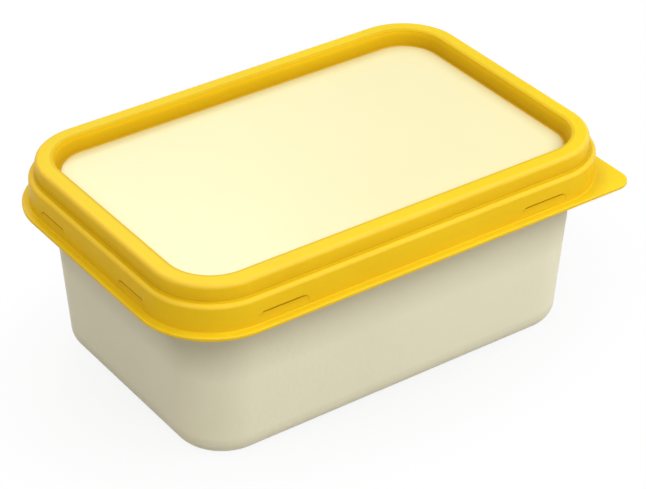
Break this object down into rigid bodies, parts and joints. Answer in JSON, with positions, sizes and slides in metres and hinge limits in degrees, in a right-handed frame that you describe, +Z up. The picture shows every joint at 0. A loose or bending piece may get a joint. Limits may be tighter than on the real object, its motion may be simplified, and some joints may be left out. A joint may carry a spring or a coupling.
{
  "type": "butter tub",
  "caption": "Shut rectangular tub of spread: tapered tub, press-on lid with a raised stacking bead, stepped skirt and pull-tab corner, and a bare pale panel in the lid's recess.",
  "frame": {"origin": "on the ground, under the middle of the lid's flange, at the middle of the tub's standing ring", "axes": "+X along the length towards the end with the pull tab, -Y towards the long side that shares the tab's corner, +Z up"},
  "size_m": [0.15, 0.1014, 0.0608],
  "materials": {
    "tub_plastic": "satin cream-white polypropylene",
    "lid_plastic": "satin bright yellow polypropylene",
    "panel_film": "smooth pale yellow in-mould film, bare of print"
  },
  "bodies": {
    "root": {"tub": "tub_plastic", "lid": "lid_plastic", "lid_panel": "panel_film"}
  },
  "joints": []
}
